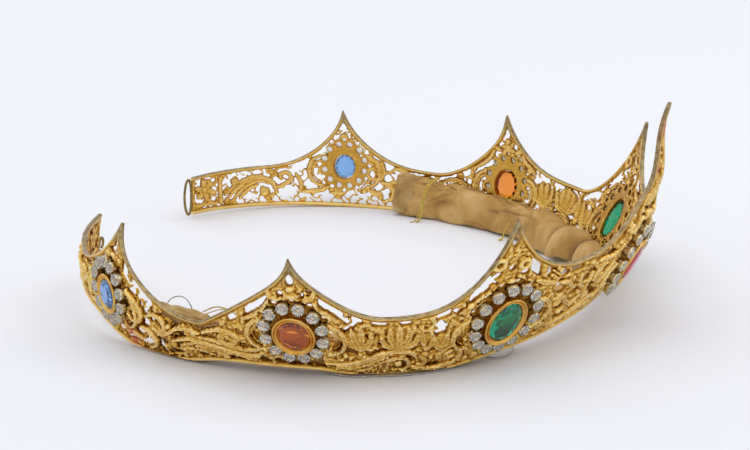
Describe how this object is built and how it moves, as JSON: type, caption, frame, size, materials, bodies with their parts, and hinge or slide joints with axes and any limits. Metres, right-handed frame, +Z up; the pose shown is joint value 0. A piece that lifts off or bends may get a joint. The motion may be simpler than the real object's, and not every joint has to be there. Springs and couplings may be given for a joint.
{
  "type": "tiara",
  "caption": "Open-backed pierced brass tiara with tall points, oval cut stones ringed by small clear stones, and a padded leather lining inside the rim.",
  "frame": {"origin": "middle of the whole piece in plan, on the surface that it stands on", "axes": "+Z up, -Y towards the front point, +X towards the wearer's left"},
  "size_m": [0.1814, 0.1917, 0.07],
  "materials": {
    "gilt_brass": "aged gilt, satin on the raised work and dull in the recesses",
    "clear_stone": "cut and polished, foiled behind",
    "blue_stone": "cut and polished",
    "orange_stone": "cut and polished",
    "green_stone": "cut and polished",
    "red_stone": "cut and polished",
    "leather": "worn tan leather, creased"
  },
  "bodies": {
    "root": {"band": "gilt_brass", "setting_blue_near": "gilt_brass", "setting_orange_near": "gilt_brass", "setting_green_near": "gilt_brass", "setting_red_front": "gilt_brass", "setting_green_far": "gilt_brass", "setting_orange_far": "gilt_brass", "setting_blue_far": "gilt_brass", "stone_blue_near": "blue_stone", "stone_orange_near": "orange_stone", "stone_green_near": "green_stone", "stone_red_front": "red_stone", "stone_green_far": "green_stone", "stone_orange_far": "orange_stone", "stone_blue_far": "blue_stone", "halo_blue_near": "clear_stone", "halo_orange_near": "clear_stone", "halo_green_near": "clear_stone", "halo_red_front": "clear_stone", "halo_green_far": "clear_stone", "halo_orange_far": "clear_stone", "halo_blue_far": "clear_stone", "padding": "leather", "end_loop": "gilt_brass", "end_hook": "gilt_brass"}
  },
  "joints": []
}
